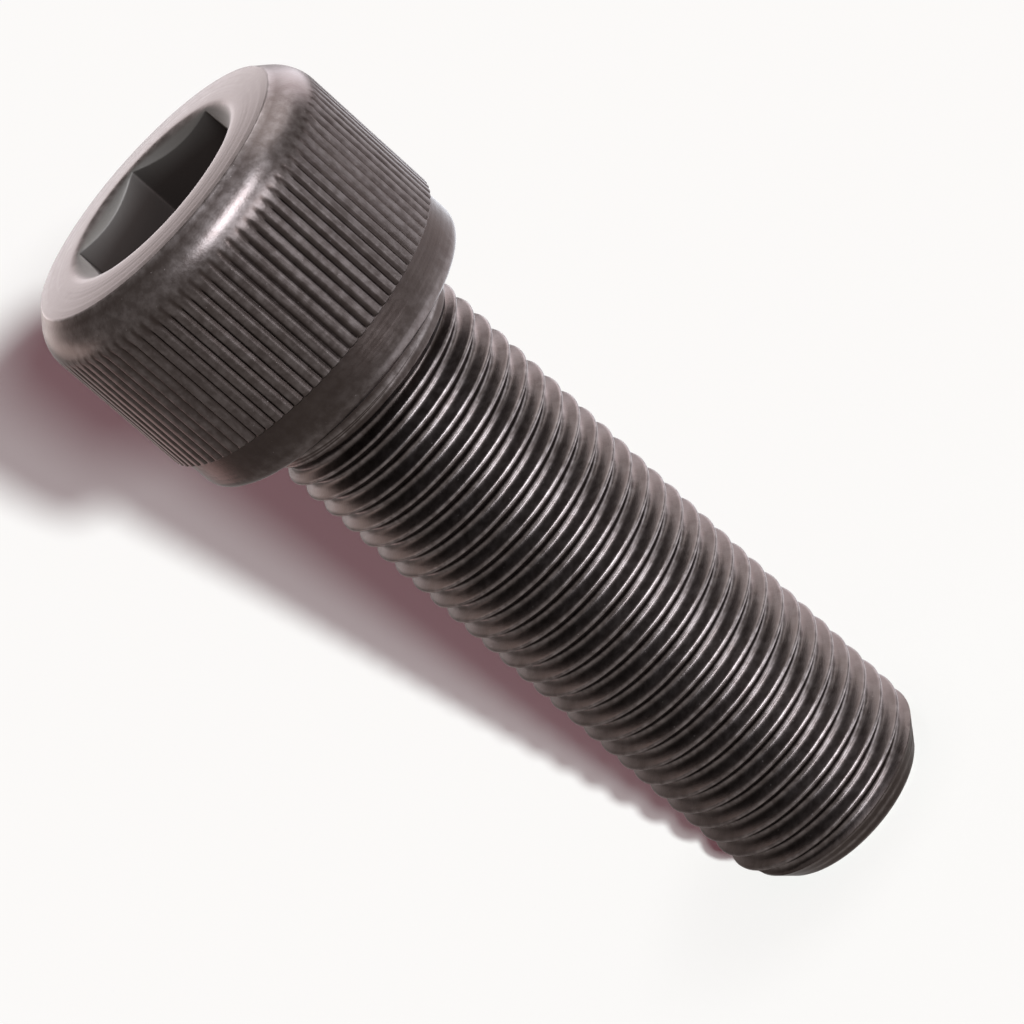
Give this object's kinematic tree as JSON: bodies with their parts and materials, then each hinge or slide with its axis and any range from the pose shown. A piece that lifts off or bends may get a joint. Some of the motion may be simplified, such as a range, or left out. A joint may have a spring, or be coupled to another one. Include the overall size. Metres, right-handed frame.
{
  "type": "hex socket cap screw",
  "caption": "Cylindrical-head cap screw with a knurled head, a hexagonal socket and a fine thread up to a short neck, in black oxide steel.",
  "frame": {"origin": "centre of the flat end face of the thread, on which the screw stands", "axes": "+Z along the screw's axis from the end of the thread to the top of the head; one corner of the socket points to -Y and one to +Y"},
  "size_m": [0.0188, 0.0188, 0.0508],
  "materials": {
    "black_oxide_steel": "black oxide, satin, lightly oiled"
  },
  "bodies": {
    "root": {"cap_screw": "black_oxide_steel"}
  },
  "joints": []
}
